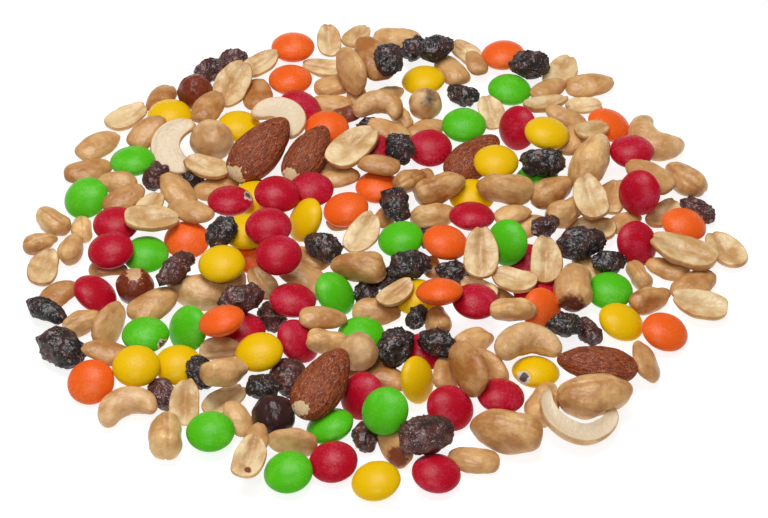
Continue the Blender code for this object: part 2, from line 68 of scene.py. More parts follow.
# The heap as it was poured: 265 loose pieces on a bare table, one to three deep. Each piece is
# named by its place in the view and by its layer, and is dropped there on those below it. It
# slides and tips a little until it lies low, as a poured piece does. Sizes are real ones in mm:
# length, width and height of one piece lying flat.
CANDY = (13.6, 13.6, 7.1)
RAISIN = (12.0, 8.4, 6.5)
THIN_RAISIN = (15.0, 7.4, 5.6)
ALMOND = (24.0, 13.0, 8.5)
CASHEW = (22.0, 10.4, 9.0)
CASHEW_HALF = (22.0, 9.0, 4.5)
THIN_CASHEW_HALF = (24.0, 7.6, 4.2)
HAZELNUT = (12.0, 11.5, 11.0)
PEANUT = (16.0, 9.8, 9.2)
PEANUT_HALF = (15.0, 9.5, 5.2)

# A cashew bends round its hollow side: the angle between the middles of its two rounded ends
# and from tip to tip, how much thinner its ends are, and where its middle lies, in radii of
# the bend
CASHEW_ARC = 150.0
CASHEW_TIPS = 212.0
CASHEW_TAPER = 0.2
CASHEW_MIDDLE = 0.62

# Candies: right, down, layer from the table up, heading of the long way in degrees,
# and how round the lentil looks in the view
RED_CANDIES = [
    (231, 200, 2, 178, .70), (116, 222, 0, 0, .80), (111, 248, 1, 10, .82), (268, 226, 2, 0, .85),
    (95, 294, 0, 145, .72), (281, 195, 2, 170, .83), (312, 188, 1, 0, .80), (473, 216, 2, 178, .66),
    (278, 253, 3, 0, .88), (291, 301, 2, 175, .75), (480, 311, 2, 175, .78), (518, 128, 0, 90, .85),
    (430, 152, 2, 0, .87), (632, 150, 1, 0, .78), (640, 191, 2, 90, .90), (526, 262, 0, 0, .80),
    (637, 244, 0, 107, .90), (536, 288, 0, 0, .80), (301, 107, 0, 150, .80), (373, 149, 0, 0, .80),
    (242, 331, 0, 0, .80), (298, 341, 1, 130, .80), (424, 352, 0, 0, .80), (362, 396, 0, 75, .90),
    (450, 408, 0, 145, .92), (501, 394, 0, 171, .74), (333, 462, 0, 10, .85), (437, 471, 0, 170, .80),
]
GREEN_CANDIES = [
    (133, 158, 0, 5, .72), (93, 201, 1, 30, .90), (145, 253, 0, 0, .82), (146, 332, 0, 0, .78),
    (188, 329, 0, 80, .85), (401, 238, 3, 12, .80), (508, 242, 1, 90, .88), (337, 294, 3, 122, .78),
    (461, 125, 1, 0, .82), (510, 90, 0, 174, .76), (537, 181, 0, 0, .80), (609, 289, 0, 0, .82),
    (361, 335, 1, 0, .80), (386, 411, 1, 55, .94), (330, 426, 0, 20, .70), (284, 470, 0, 10, .85),
    (212, 429, 0, 3, .83),
]
YELLOW_CANDIES = [
    (176, 114, 0, 0, .78), (235, 126, 0, 170, .75), (254, 196, 0, 0, .80), (246, 232, 1, 0, .80),
    (222, 259, 2, 5, .82), (306, 218, 1, 68, .72), (472, 196, 0, 0, .80), (416, 297, 0, 0, .80),
    (495, 161, 2, 0, .80), (548, 133, 1, 170, .77), (621, 322, 0, 154, .78), (417, 79, 2, 8, .72),
    (136, 365, 1, 0, .88), (178, 364, 0, 0, .85), (260, 352, 2, 10, .83), (420, 380, 1, 95, .72),
    (376, 481, 0, 14, .80), (536, 372, 0, 175, .68),
]
ORANGE_CANDIES = [
    (187, 240, 1, 0, .85), (254, 256, 0, 0, .80), (220, 320, 1, 17, .66), (344, 204, 2, 15, .78),
    (378, 187, 0, 0, .75), (446, 245, 3, 165, .78), (441, 292, 3, 3, .60), (609, 125, 0, 155, .75),
    (683, 223, 1, 165, .76), (541, 309, 0, 100, .85), (665, 332, 0, 160, .81), (503, 55, 0, 5, .74),
    (293, 47, 0, 0, .75), (290, 80, 1, 0, .74), (326, 127, 0, 0, .80), (91, 382, 0, 16, .93),
]

# Other pieces: right, down, layer, heading in degrees, length in mm, and for a piece that
# leans on others the heading it faces and its lean in degrees
RAISINS = [
    (211, 70, 0, 20, 11.5), (233, 58, 0, 10, 9), (153, 176, 1, 60, 10), (190, 181, 0, 20, 9),
    (252, 184, 0, 0, 7), (223, 232, 2, 50, 11.5), (241, 293, 2, 20, 13.5), (265, 316, 1, 110, 11),
    (396, 201, 1, 110, 13), (324, 243, 3, 150, 12.5), (428, 235, 0, 0, 10), (409, 269, 1, 20, 14),
    (456, 273, 1, 165, 12), (366, 294, 2, 75, 9.5), (417, 314, 2, 60, 8.5), (463, 95, 0, 160, 10.5),
    (543, 162, 2, 5, 14), (546, 223, 3, 30, 9.5), (583, 246, 2, 10, 15.5), (610, 260, 1, 20, 11),
    (564, 322, 2, 0, 11), (590, 326, 1, 120, 10.5), (527, 69, 1, 20, 14), (388, 58, 2, 90, 13),
    (413, 47, 1, 60, 10), (434, 47, 2, 30, 12.5), (370, 126, 0, 0, 9), (398, 148, 1, 100, 12.5),
    (62, 347, 0, 150, 16.5), (200, 372, 0, 120, 11), (163, 390, 0, 120, 11.5), (256, 385, 1, 0, 10.5),
    (288, 374, 1, 110, 14.5), (396, 346, 2, 60, 14), (437, 342, 1, 160, 12), (424, 434, 1, 20, 17),
    (359, 436, 0, 90, 10.5), (389, 279, 0, 0, 10),
]
THIN_RAISINS = [(176, 268, 1, 52, 16), (47, 309, 0, 155, 13.5), (698, 210, 0, 145, 13)]
ALMONDS = [
    (257, 150, 4, 43, 26, 270, 18), (308, 153, 3, 52, 22.5), (474, 158, 0, 43, 24),
    (320, 383, 2, 52, 25, 270, 14), (594, 360, 1, 176, 23),
]
CASHEWS = [
    (207, 286, 0, 8, 25), (380, 106, 2, 170, 17), (651, 137, 0, 322, 20.5), (129, 405, 0, 190, 18.5),
    (525, 343, 1, 188, 21),
]
CASHEW_HALVES = [(176, 146, 2, 268, 20, 270, 20), (282, 115, 1, 150, 19)]
THIN_CASHEW_HALVES = [(576, 419, 1, 352, 25)]
HAZELNUTS = [
    (195, 92, 0, 90, 11.5), (135, 287, 0, 80, 11.4), (274, 416, 0, 150, 12.6), (427, 111, 2, 90, 10.8),
    (359, 352, 2, 90, 11.5), (213, 138, 1, 0, 13.5),
]
PEANUTS = [
    (53, 221, 0, 145, 12), (82, 229, 0, 100, 10), (40, 243, 0, 10, 10), (72, 248, 1, 70, 11),
    (81, 323, 0, 20, 11.5), (407, 180, 1, 30, 11), (440, 188, 1, 15, 15), (433, 217, 0, 10, 13.5),
    (505, 187, 2, 175, 16), (361, 268, 3, 170, 15.5), (435, 322, 2, 95, 12), (592, 160, 1, 60, 18.5),
    (551, 190, 1, 30, 14), (565, 209, 1, 30, 13), (685, 179, 1, 140, 15), (572, 286, 1, 80, 18),
    (639, 276, 1, 120, 10), (649, 300, 0, 20, 12.5), (514, 308, 1, 0, 12.5), (385, 90, 1, 20, 12),
    (222, 371, 1, 10, 13), (166, 435, 0, 95, 15.5), (326, 340, 2, 0, 12), (472, 343, 1, 20, 13),
    (507, 431, 0, 170, 19.5), (596, 391, 1, 5, 20), (543, 402, 0, 60, 14.5), (364, 62, 0, 60, 13),
    (403, 119, 1, 130, 10),
]
OPEN_PEANUT_HALVES = [
    (127, 116, 0, 32, 14.5), (233, 89, 1, 55, 17, 270, 20), (207, 166, 2, 160, 14.5),
    (147, 203, 1, 60, 12), (152, 217, 2, 5, 16), (44, 267, 0, 80, 14.5), (262, 281, 1, 130, 12),
    (361, 231, 2, 52, 14.5, 270, 15), (482, 251, 3, 88, 16, 270, 22), (397, 292, 3, 30, 12),
    (482, 288, 1, 150, 12), (515, 279, 1, 160, 14), (492, 111, 1, 110, 12.5, 270, 15),
    (591, 130, 2, 25, 11.5), (589, 196, 2, 110, 15.5, 270, 15), (618, 194, 1, 70, 14.5),
    (545, 260, 3, 85, 15, 270, 20), (592, 228, 0, 170, 15), (664, 213, 0, 45, 13),
    (683, 251, 1, 162, 20), (726, 249, 0, 130, 15.5), (700, 302, 0, 170, 16),
    (329, 40, 1, 95, 12, 270, 15), (356, 36, 1, 40, 11), (324, 68, 1, 170, 13.5),
    (466, 52, 0, 140, 12.5), (353, 146, 2, 35, 18.5), (561, 71, 0, 55, 15), (578, 105, 1, 0, 11.5),
    (220, 346, 0, 0, 12.5), (187, 399, 0, 88, 13.5, 270, 25), (224, 396, 0, 35, 14),
    (249, 455, 0, 68, 14), (262, 62, 1, 20, 13), (545, 101, 0, 28, 15, 90, 20),
]
TURNED_PEANUT_HALVES = [
    (208, 105, 0, 55, 14), (162, 99, 0, 60, 13), (98, 146, 0, 32, 15), (88, 171, 0, 12, 14.5),
    (148, 131, 0, 40, 14), (217, 186, 0, 20, 14), (118, 182, 0, 170, 12.5), (124, 198, 0, 30, 14),
    (177, 191, 1, 135, 15), (191, 212, 2, 160, 14.5), (108, 268, 0, 0, 11), (151, 303, 0, 32, 16),
    (62, 295, 0, 40, 13.5), (109, 324, 0, 62, 15, 330, 55), (341, 177, 1, 15, 12),
    (378, 163, 2, 175, 12.5), (424, 183, 0, 90, 12), (343, 222, 0, 20, 10), (386, 216, 0, 60, 10),
    (311, 255, 1, 150, 12), (302, 273, 2, 160, 16), (433, 267, 1, 100, 9), (374, 314, 2, 0, 13.5),
    (321, 317, 3, 5, 14), (650, 174, 1, 150, 16), (512, 211, 2, 15, 11.5), (624, 223, 0, 25, 11),
    (668, 268, 0, 165, 13), (693, 284, 0, 30, 15), (587, 269, 0, 120, 13), (589, 85, 1, 10, 15.5),
    (565, 117, 0, 160, 13), (572, 138, 0, 60, 13), (258, 95, 0, 85, 14), (354, 68, 2, 115, 17, 210, 65),
    (373, 58, 1, 120, 18), (398, 39, 0, 170, 15), (335, 85, 0, 12, 13.5), (332, 104, 0, 170, 13),
    (454, 69, 1, 130, 14.5), (426, 130, 0, 20, 13), (345, 117, 1, 20, 10), (388, 131, 0, 160, 14),
    (330, 172, 0, 100, 14), (107, 351, 0, 175, 14), (241, 417, 0, 130, 12), (256, 437, 0, 70, 11),
    (388, 377, 1, 170, 11.5), (445, 371, 0, 78, 14, 348, 35), (466, 371, 1, 118, 18, 208, 55),
    (487, 369, 0, 138, 15, 228, 60), (474, 460, 0, 170, 14.5), (392, 446, 0, 130, 13.5, 220, 45),
    (288, 443, 0, 173, 14, 263, 75), (645, 362, 0, 98, 15, 8, 40), (370, 368, 0, 30, 15),
    (531, 227, 1, 20, 14), (498, 296, 0, 150, 13), (476, 62, 0, 120, 10), (548, 88, 0, 25, 12),
    (356, 95, 0, 100, 10),
]

# How the pieces settle, in mm and degrees. A piece sinks by the contact depth into what it lies
# on, and the floor is raised by as much. From each start height it slides and tips in ever
# smaller strides, for as long as that lowers it by more than it costs. The heights of what lies
# there already are kept in a square field of cells.
FLOOR = 0.3
CONTACT = 0.3
STRIDES = (1.0, 0.5, 0.25)
START_HEIGHTS = (3.0, 6.0, 9.0, 13.0)
TIP_STRIDE = 9.0
CELL = 0.8
FIELD = 135.0
SHIFT_COST = 0.7
TIP_COST = 0.0025
LEAST_GAIN = 0.01

Piece = namedtuple("Piece", "kind size balls right down layer base lean free")
Laid = namedtuple("Laid", "piece turn place")


def place_on_table(right, down, height):
    """Where a place in the view lies, for a piece whose middle is at this height."""
    across = VIEW_RIGHT * (right - VIEW_MIDDLE[0]) * VIEW_UNIT
    rise = VIEW_UP * (VIEW_MIDDLE[1] - down) * VIEW_UNIT
    ray = across + rise - EYE
    return (EYE + ray * (height - EYE[2]) / ray[2])[:2]


def rotation(axis, angle):
    return np.array(Matrix.Rotation(angle, 3, Vector(axis)))


def tipped(tip):
    """A lean towards a heading, from its two parts in degrees."""
    lean = math.hypot(*tip)
    if lean < 1e-6:
        return np.eye(3)
    return rotation((-tip[1], tip[0], 0), math.radians(lean))


def turned(heading):
    """A turn on the table that shows as this heading in the view."""
    angle = math.radians(heading)
    return rotation(UP, math.atan2(math.sin(angle) / math.sin(VIEW_ELEVATION), math.cos(angle)))


def lentil_lean(heading, roundness):
    """The turn of a lentil that shows as an oval of this heading and roundness."""
    thin = CANDY[2] / CANDY[0]
    away = math.sqrt((1 - roundness ** 2) / (1 - thin ** 2))
    facing = math.sqrt(1 - away ** 2)
    angle = math.radians(heading % 180 + 90)
    if math.sin(angle) < 0:
        angle += math.pi
    normal = facing * VIEW_BACK + away * (math.cos(angle) * VIEW_RIGHT + math.sin(angle) * VIEW_UP)
    return np.array(Vector(UP).rotation_difference(Vector(normal)).to_matrix())


def whole(size):
    """One ellipsoid that stands for a piece while it settles: centre and half sizes."""
    return [(np.zeros(3), np.array(size) / 2)]


def cashew_ring(size):
    """Radius of the arc that the middle of a cashew follows."""
    return size[0] / 2 - size[1] / 2 * (1 - CASHEW_TAPER)


def bent(size):
    """Five balls along an arc, as a cashew curves."""
    ring = cashew_ring(size)
    balls = []
    for step in range(-2, 3):
        angle = math.radians(-90 + step * CASHEW_ARC / 4)
        thick = 1 - CASHEW_TAPER * abs(step) / 2
        centre = np.array([ring * math.cos(angle), ring * (math.sin(angle) + CASHEW_MIDDLE), 0])
        balls.append((centre, np.array([size[1], size[1], size[2]]) / 2 * thick))
    return balls


def ball_faces(ball, turn, x, y):
    """Cells under one ball, and its lower and upper face there above the piece's middle."""
    centre, half = ball
    offset = turn @ centre
    reach = np.sqrt(np.diag(turn @ np.diag(half ** 2) @ turn.T))
    form = turn @ np.diag(half ** -2.0) @ turn.T
    low_x, low_y = x + offset[0] - reach[0] + FIELD, y + offset[1] - reach[1] + FIELD
    rows = np.arange(int(low_x / CELL), int((low_x + 2 * reach[0]) / CELL) + 1)
    columns = np.arange(int(low_y / CELL), int((low_y + 2 * reach[1]) / CELL) + 1)
    dx, dy = np.meshgrid((rows + 0.5) * CELL - FIELD - x - offset[0],
                         (columns + 0.5) * CELL - FIELD - y - offset[1], indexing="ij")
    slope = form[0, 2] * dx + form[1, 2] * dy
    rest = form[0, 0] * dx * dx + 2 * form[0, 1] * dx * dy + form[1, 1] * dy * dy - 1
    inside = slope ** 2 - form[2, 2] * rest
    root = np.sqrt(np.maximum(inside, 0))
    lower = np.where(inside > 0, (-slope - root) / form[2, 2] + offset[2], np.inf)
    upper = np.where(inside > 0, (-slope + root) / form[2, 2] + offset[2], -np.inf)
    return slice(rows[0], rows[-1] + 1), slice(columns[0], columns[-1] + 1), lower, upper


def resting_height(ground, balls, turn, x, y):
    heights = []
    for ball in balls:
        rows, columns, lower, _ = ball_faces(ball, turn, x, y)
        heights.append((ground[rows, columns] - lower).max())
    return max(heights)


def settle(ground, piece):
    """Drop one piece: it slides and tips a little until it lies low and true to its place in
    the view, and then raises the ground for the next ones."""

    def lie(state):
        x, y, tip_x, tip_y = state
        turn = tipped((piece.lean[0] + tip_x, piece.lean[1] + tip_y)) @ piece.base
        z = resting_height(ground, piece.balls, turn, x, y) - CONTACT
        return turn, np.array([x, y, z])

    def cost(state):
        place = lie(state)[1]
        off = place[:2] - place_on_table(piece.right, piece.down, place[2])
        shift = off[0] ** 2 + (off[1] * math.sin(VIEW_ELEVATION)) ** 2
        return place[2] + SHIFT_COST * shift + TIP_COST * (state[2] ** 2 + state[3] ** 2)

    def slide_down(height):
        state = [*place_on_table(piece.right, piece.down, height), 0.0, 0.0]
        least = cost(state)
        for step in STRIDES:
            moved = True
            while moved:
                moved = False
                for part, stride in enumerate((step, step, step * TIP_STRIDE, step * TIP_STRIDE)):
                    for sign in (1, -1) if piece.free or part < 2 else ():
                        trial = list(state)
                        trial[part] += sign * stride
                        found = cost(trial)
                        if found < least - LEAST_GAIN:
                            state, least, moved = trial, found, True
        return least, state

    best = min(slide_down(height) for height in START_HEIGHTS)[1]
    turn, place = lie(best)
    for ball in piece.balls:
        rows, columns, _, upper = ball_faces(ball, turn, place[0], place[1])
        ground[rows, columns] = np.maximum(ground[rows, columns], upper + place[2])
    return Laid(piece, turn, place)


def scaled(size, length):
    return tuple(side * length / size[0] for side in size)


def candies(kind, rows):
    """Lentils keep the lean that the view shows, because their oval gives it away."""
    pieces = []
    for right, down, layer, heading, roundness in rows:
        leaning = lentil_lean(heading, roundness)
        pieces.append(Piece(kind, CANDY, whole(CANDY), right, down, layer, leaning, (0, 0), False))
    return pieces


def loose(kind, rows, real_size, stand_in):
    """Pieces that tip freely as they settle, unless a row gives them a lean."""
    pieces = []
    for right, down, layer, heading, length, *leaning in rows:
        size = scaled(real_size, length)
        lean = (0, 0)
        if leaning:
            faces, angle = math.radians(leaning[0]), leaning[1]
            lean = (angle * math.cos(faces), angle * math.sin(faces))
        free = not leaning
        pieces.append(Piece(kind, size, stand_in(size), right, down, layer, turned(heading), lean, free))
    return pieces


waiting = candies("red candy", RED_CANDIES) + candies("green candy", GREEN_CANDIES)
waiting += candies("yellow candy", YELLOW_CANDIES) + candies("orange candy", ORANGE_CANDIES)
for group in (
        ("raisin", RAISINS, RAISIN, whole), ("raisin", THIN_RAISINS, THIN_RAISIN, whole),
        ("almond", ALMONDS, ALMOND, whole), ("cashew", CASHEWS, CASHEW, bent),
        ("cashew half", CASHEW_HALVES, CASHEW_HALF, bent),
        ("cashew half", THIN_CASHEW_HALVES, THIN_CASHEW_HALF, bent),
        ("hazelnut", HAZELNUTS, HAZELNUT, whole), ("peanut", PEANUTS, PEANUT, whole),
        ("open half", OPEN_PEANUT_HALVES, PEANUT_HALF, whole),
        ("turned half", TURNED_PEANUT_HALVES, PEANUT_HALF, whole)):
    waiting += loose(*group)
waiting.sort(key=lambda piece: (piece.layer, piece.down))

cells = int(2 * FIELD / CELL)
ground = np.full((cells, cells), FLOOR)
heap = [settle(ground, piece) for piece in waiting]


# Candies: lentils of milk chocolate in a sugar shell about half a millimetre thick, panned in a
# turning drum and polished with wax. The shell scuffs and blooms in the bag, and a few have lost
# a flake of it, which shows the white sugar edge and the dark chocolate inside.
LENS_EDGE = 1.16
SHELL_WAVE = 0.016
SHELL_WAVES_PER_MM = 0.22
SHELL_THICK = 0.45
CHIP_EDGE = 0.35
# Chips on single candies, by the candy: where the chip shows in the view, and its reach
CHIPS = {(536, 372): (523, 378, 9.0), (146, 332): (164, 345, 7.5), (231, 200): (251, 194, 7.5)}
# A spot's edge wanders by this share of its reach, in so many waves per pixel of the view
SPOT_RAGGED = 0.35
SPOT_WAVES = 0.35


def seen_at(point):
    """Where a point of the heap shows in the view."""
    away = np.array(point) - EYE
    reach = -VIEW_DISTANCE / VIEW_UNIT / away.dot(VIEW_BACK)
    return VIEW_MIDDLE[0] + away[0] * reach, VIEW_MIDDLE[1] - away.dot(VIEW_UP) * reach


def own_shift(laid):
    """A place in the noise that belongs to one piece, so that no two are alike."""
    return Vector((laid.piece.right * 0.37, laid.piece.down * 0.53, laid.piece.layer * 7.1))


def own_tone(laid):
    """A shade from 0 to 1 that belongs to one piece."""
    return Random(laid.piece.right * 1000 + laid.piece.down).random()


def key_of(laid):
    """The place in the view that names a piece in the lists of spots."""
    return laid.piece.right, laid.piece.down


def spot_strength(spots, laid, point, shift, outward=Vector(VIEW_BACK)):
    """How strongly a piece's spot, if it has one, covers a point: 1 in its middle, 0 outside."""
    spot = spots.get(key_of(laid))
    if spot is None or outward.dot(Vector(VIEW_BACK)) < 0:
        return 0.0
    right, down = seen_at(point)
    ragged = 1 + SPOT_RAGGED * noise.noise(Vector((right, down, 0)) * SPOT_WAVES + shift)
    return max(0.0, 1 - math.hypot(right - spot[0], down - spot[1]) / (spot[2] * ragged))


def all_of(kind):
    return [laid for laid in heap if laid.piece.kind == kind]


def make_pieces(name, chosen, segments, rings, pole, form, material):
    """One mesh for all pieces of a kind. form gives a piece's surface in mm for each point of a
    unit ball, with up to three marks that the material reads."""
    unit_ball = bmesh.new()
    bmesh.ops.create_uvsphere(unit_ball, u_segments=segments, v_segments=rings, radius=1)
    to_pole = Vector(UP).rotation_difference(Vector(pole)).to_matrix()
    bmesh.ops.rotate(unit_ball, matrix=to_pole, verts=unit_ball.verts)
    ball = bpy.data.meshes.new("unit ball")
    unit_ball.to_mesh(ball)
    unit_ball.free()

    built = bmesh.new()
    own = built.verts.layers.float_vector.new("own_place")
    marks = built.verts.layers.float_vector.new("marks")
    tone = built.verts.layers.float.new("tone")
    for laid in chosen:
        shift = own_shift(laid)
        shade = own_tone(laid)
        lay = Matrix.Translation(laid.place) @ Matrix(laid.turn).to_4x4()
        first = len(built.verts)
        built.from_mesh(ball)
        built.verts.ensure_lookup_table()
        for vertex in built.verts[first:]:
            point, marked = form(vertex.co.copy(), laid, shift, lay)
            vertex[own] = point
            vertex[marks] = marked
            vertex[tone] = shade
            vertex.co = lay @ point
            vertex.co.z = max(vertex.co.z, 0)
    bpy.data.meshes.remove(ball)
    bmesh.ops.scale(built, vec=(MM, MM, MM), verts=built.verts)
    mesh = bpy.data.meshes.new(name)
    built.to_mesh(mesh)
    built.free()
    mesh.shade_smooth()
    mesh.materials.append(material)
    made = bpy.data.objects.new(name, mesh)
    bpy.context.scene.collection.objects.link(made)
    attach(made, "root")
    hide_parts("trail_mix")


def linear(hex_colour):
    """An sRGB hex colour as linear red, green, blue and alpha."""
    colour = []
    for at in (0, 2, 4):
        part = int(hex_colour[at:at + 2], 16) / 255
        colour.append(part / 12.92 if part < 0.04045 else ((part + 0.055) / 1.055) ** 2.4)
    return (*colour, 1.0)


def add_node(material, kind, inputs, **settings):
    """Adds a node. An input is a number, a colour or another node's output."""
    made = material.node_tree.nodes.new("ShaderNode" + kind)
    for name, value in settings.items():
        setattr(made, name, value)
    for name, value in inputs.items():
        if isinstance(value, bpy.types.NodeSocket):
            material.node_tree.links.new(value, made.inputs[name])
        else:
            made.inputs[name].default_value = value
    return made


def new_material(name):
    """A material, the place that it reads in metres, and the marks of its piece."""
    material = bpy.data.materials.new(name)
    material.use_nodes = True
    material.node_tree.nodes.clear()
    place = add_node(material, "TexCoord", {}).outputs["Object"]
    mark = add_node(material, "Attribute", {}, attribute_name="marks")
    marks = add_node(material, "SeparateXYZ", {0: mark.outputs["Vector"]}).outputs
    return material, place, marks


def noisy(material, at, scale, detail, roughness=0.5):
    """Cloudy noise from 0 to 1 at a place."""
    inputs = {"Vector": at, "Scale": scale, "Detail": detail, "Roughness": roughness}
    return add_node(material, "TexNoise", inputs).outputs["Fac"]


def ramp(material, value, low, high, to_low=0.0, to_high=1.0):
    """A value between low and high, spread from to_low to to_high and held there outside."""
    inputs = {"Value": value, "From Min": low, "From Max": high, "To Min": to_low, "To Max": to_high}
    return add_node(material, "MapRange", inputs).outputs[0]


def plus(material, first, second):
    return add_node(material, "Math", {0: first, 1: second}, operation="ADD").outputs[0]


def times(material, first, second):
    return add_node(material, "Math", {0: first, 1: second}, operation="MULTIPLY").outputs[0]


def mixed(material, share, *colours):
    """The first colour with a share of the second. Each is hex text or another node's output."""
    first, second = (linear(one) if isinstance(one, str) else one for one in colours)
    return add_node(material, "Mix", {0: share, 6: first, 7: second}, data_type="RGBA").outputs[2]


def candy_form(direction, laid, shift, lay):
    """A lens with a rounded edge, a little uneven, and dented where its shell has flaked off."""
    height = math.copysign(abs(direction.z) ** LENS_EDGE, direction.z)
    point = Vector((direction.x * CANDY[0], direction.y * CANDY[1], height * CANDY[2])) / 2
    point *= 1 + SHELL_WAVE * noise.noise(point * SHELL_WAVES_PER_MM + shift)
    outward = (lay.to_3x3() @ Vector((point.x, point.y, point.z * 3))).normalized()
    chip = spot_strength(CHIPS, laid, lay @ point, shift, outward)
    flaked = min(1.0, chip / CHIP_EDGE)
    dent = SHELL_THICK * flaked * (1 + 0.5 * noise.noise(point * 1.3 + shift))
    return point - point.normalized() * dent, (chip, 0, 0)


def candy_shell(name, colour, bloom, bloom_share):
    """Hard panned sugar, waxed: an even colour under a satin gloss, and fine paler scuffs and
    bloom. The scuffs are drawn about 1 mm wide, as coarse as the view shows them."""
    material, place, marks = new_material(name)
    mottle = noisy(material, place, 1500, 4, 0.7)
    patches = noisy(material, place, 160, 2)
    both = plus(material, mottle, patches)
    scuffed = ramp(material, both, 0.98, 1.25, to_high=bloom_share)
    shell = mixed(material, scuffed, colour, bloom)
    # The flake's edge is ragged, at about 1 mm
    tear = noisy(material, place, 1000, 3)
    torn = times(material, marks["X"], tear)
    sugar = ramp(material, torn, 0.07, 0.13)
    inside = ramp(material, torn, 0.2, 0.26)
    with_sugar = mixed(material, sugar, shell, "D8CCBC")
    crumb = noisy(material, place, 1200, 3)
    chocolate = mixed(material, crumb, "241814", "7A6A64")
    all_colour = mixed(material, inside, with_sugar, chocolate)
    rough = ramp(material, mottle, 0.3, 0.7, 0.2, 0.32)
    relief = add_node(material, "Bump", {
        "Height": both, "Strength": 0.5, "Distance": 0.0002})
    surface = add_node(material, "BsdfPrincipled", {
        "Base Color": all_colour, "Roughness": rough, "IOR": 1.46,
        "Specular IOR Level": 0.22, "Normal": relief.outputs[0]})
    add_node(material, "OutputMaterial", {"Surface": surface.outputs[0]})
    return material


SHELLS = {
    "red candy": candy_shell("waxed sugar shell, crimson", "B00822", "CC445E", 0.5),
    "green candy": candy_shell("waxed sugar shell, green", "4EB812", "80D450", 0.35),
    "yellow candy": candy_shell("waxed sugar shell, yellow", "E6B800", "EEBE00", 0.25),
    "orange candy": candy_shell("waxed sugar shell, orange", "EA5E18", "F88A54", 0.35),
}
for kind, shell in SHELLS.items():
    make_pieces(kind.replace(" ", "_"), all_of(kind), 56, 28, UP, candy_form, shell)


# Raisins: whole grapes dried in the sun. The skin stays while the flesh shrinks, so it falls into
# deep folds with fine wrinkles between them. It is nearly black, reddish where it is thin, and
# sugar that sweats out leaves small bright crystals on the ridges. Their pale specks are drawn
# partly as sugar and partly as painted glints.
RAISIN_LUMP = 0.16
FOLD_WARP = 1.6
FOLD_WIDTH = 4.2
FOLD_HEIGHT = 0.75
FOLD_REACH = 0.32
WRINKLE_WIDTH = 1.7
WRINKLE_HEIGHT = 0.34
WRINKLE_REACH = 0.3
SKIN_SUNK = 0.25
FOLD_SEED = 1
# A raisin less wide than this has lower folds
PLUMP_RAISIN = 7.0
LENGTHWAYS = (1, 0, 0)
# The raisins that show red, by their places in the view
RED_RAISINS = {
    (211, 70), (233, 58), (698, 210), (163, 390), (359, 436), (424, 434), (241, 293), (288, 374),
    (265, 316), (546, 223), (590, 326), (153, 176), (176, 268),
}


def raisin_form(direction, laid, shift, lay):
    """A lumpy ball whose skin stands up in sharp folds along lines where noise changes its sign,
    with hollows between them."""
    lump = 1 + RAISIN_LUMP * noise.noise(direction * 1.2 + shift)
    point = Vector(part * side / 2 * lump for part, side in zip(direction, laid.piece.size))
    warp = noise.noise_vector(point / 4 + shift) * FOLD_WARP
    fold = abs(noise.noise((point + warp) / FOLD_WIDTH + shift))
    wrinkle = abs(noise.noise((point + warp) / WRINKLE_WIDTH - shift))
    crest = max(0.0, 1 - fold / FOLD_REACH) ** 1.3
    fine = max(0.0, 1 - wrinkle / WRINKLE_REACH)
    plump = min(1.0, laid.piece.size[1] / PLUMP_RAISIN)
    raised = (FOLD_HEIGHT * crest + WRINKLE_HEIGHT * fine) * plump
    reddish = 1.0 if key_of(laid) in RED_RAISINS else 0.0
    return point * 0.95 + direction * (raised - SKIN_SUNK), (reddish, 0, 0)


raisin_skin, place, marks = new_material("sun-dried grape skin")
# The skin is 0.1 mm thin. It is blue-black where it is thick and wine red where light gets in.
thin = noisy(raisin_skin, place, 260, 3)
how_red = ramp(raisin_skin, marks["X"], 0, 1, -0.12, 0.1)
thin_and_red = plus(raisin_skin, thin, how_red)
redness = ramp(raisin_skin, thin_and_red, 0.35, 0.75)
body_colour = mixed(raisin_skin, redness, "221B1B", "60302A")
# Sugar crystals, 0.2 to 0.4 mm, drawn at 0.4 mm so that they show. The pale specks are partly
# these crystals and partly painted glints.
crystals = add_node(raisin_skin, "TexVoronoi", {"Vector": place, "Scale": 2400})
pale_speck = ramp(raisin_skin, crystals.outputs["Distance"], 0.28, 0.14)
where = noisy(raisin_skin, place, 420, 2)
some = ramp(raisin_skin, where, 0.46, 0.54)
sugar_and_glints = times(raisin_skin, pale_speck, some)
skin_colour = mixed(raisin_skin, sugar_and_glints, body_colour, "D8CCC0")
pucker = add_node(raisin_skin, "TexNoise", {
    "Vector": place, "Scale": 520, "Detail": 5, "Roughness": 0.6}, noise_type="RIDGED_MULTIFRACTAL")
relief = add_node(raisin_skin, "Bump", {
    "Height": pucker.outputs["Fac"], "Strength": 1.0, "Distance": 0.001})
surface = add_node(raisin_skin, "BsdfPrincipled", {
    "Base Color": skin_colour, "Roughness": 0.36, "IOR": 1.5, "Normal": relief.outputs[0]})
add_node(raisin_skin, "OutputMaterial", {"Surface": surface.outputs[0]})
# Blender draws the noise that warps the folds from the clock, unless it is given a seed
noise.seed_set(FOLD_SEED)
make_pieces("raisins", all_of("raisin"), 60, 38, LENGTHWAYS, raisin_form, raisin_skin)


# Almonds: whole kernels roasted in their skins and salted. The brown skin shrinks on the kernel
# into wavy ridges that run from the blunt end to the point. Salt grains stick in the furrows,
# and the pale kernel shows where a scrap of skin has come off an end.
FURROWS = 6.4
FURROW_DEPTH = 0.22
FURROW_SWAY = 0.35
# Pale ends, by the almond: where the bare kernel shows in the view, and its reach
BARE_ENDS = {
    (257, 150): (233, 177, 18), (308, 153): (290, 176, 13), (320, 383): (301, 409, 13),
}


def teardrop(along, size):
    """Half width and half height of an almond, from its blunt end (-1) to its point (1)."""
    girth = math.sqrt(max(0.0, 1 - along * along))
    taper = (1 - 0.20 * along) * (1 - 0.12 * max(0.0, along) ** 3)
    return girth * taper * size[1] / 2, girth * (1 - 0.12 * along) * size[2] / 2


